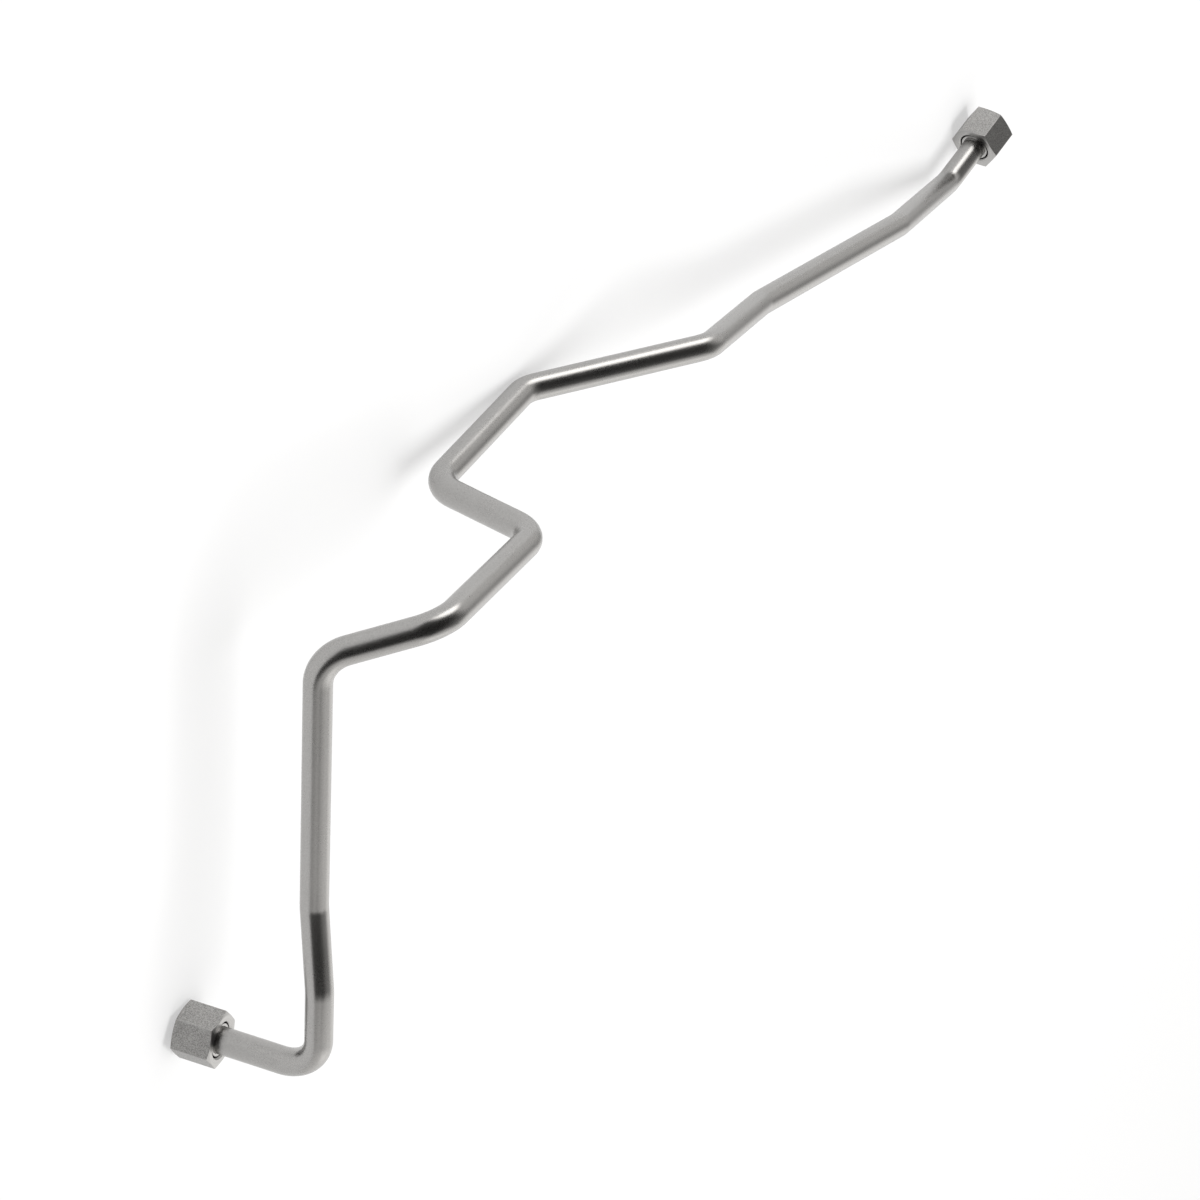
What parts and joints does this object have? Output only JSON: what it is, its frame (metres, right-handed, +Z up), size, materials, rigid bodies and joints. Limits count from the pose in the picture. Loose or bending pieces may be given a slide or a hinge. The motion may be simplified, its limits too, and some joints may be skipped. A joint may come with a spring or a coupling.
{
  "type": "bent tube assembly",
  "caption": "Bent steel hydraulic line with a brazed flat-face sleeve and a hexagonal swivel nut at each end, joining two face-seal ports around obstacles.",
  "frame": {"origin": "on the floor that the part lies on, under the middle of its box", "axes": "+Z up as the part lies at rest on its nuts and one bend, +X from the lower nut towards the upper nut"},
  "size_m": [0.7386, 0.2332, 0.1015],
  "materials": {
    "tube_steel": "satin, fine grain",
    "sleeve_steel": "turned, satin",
    "nut_steel": "satin, fine grain"
  },
  "bodies": {
    "tube": {"bent_tube": "tube_steel", "lower_sleeve": "sleeve_steel", "upper_sleeve": "sleeve_steel"},
    "lower_nut": {"lower_nut": "nut_steel"},
    "upper_nut": {"upper_nut": "nut_steel"}
  },
  "joints": [
    {"name": "lower_nut_swivel", "type": "hinge", "parent": "tube", "child": "lower_nut", "pos_m": [-0.35444, -0.10298, 0.0113], "axis": [-0.1579, 0.0156, -0.9873], "continuous": true},
    {"name": "upper_nut_swivel", "type": "hinge", "parent": "tube", "child": "upper_nut", "pos_m": [0.3584, -0.10339, 0.0139], "axis": [0.9924, 0.1223, 0.0124], "continuous": true}
  ]
}
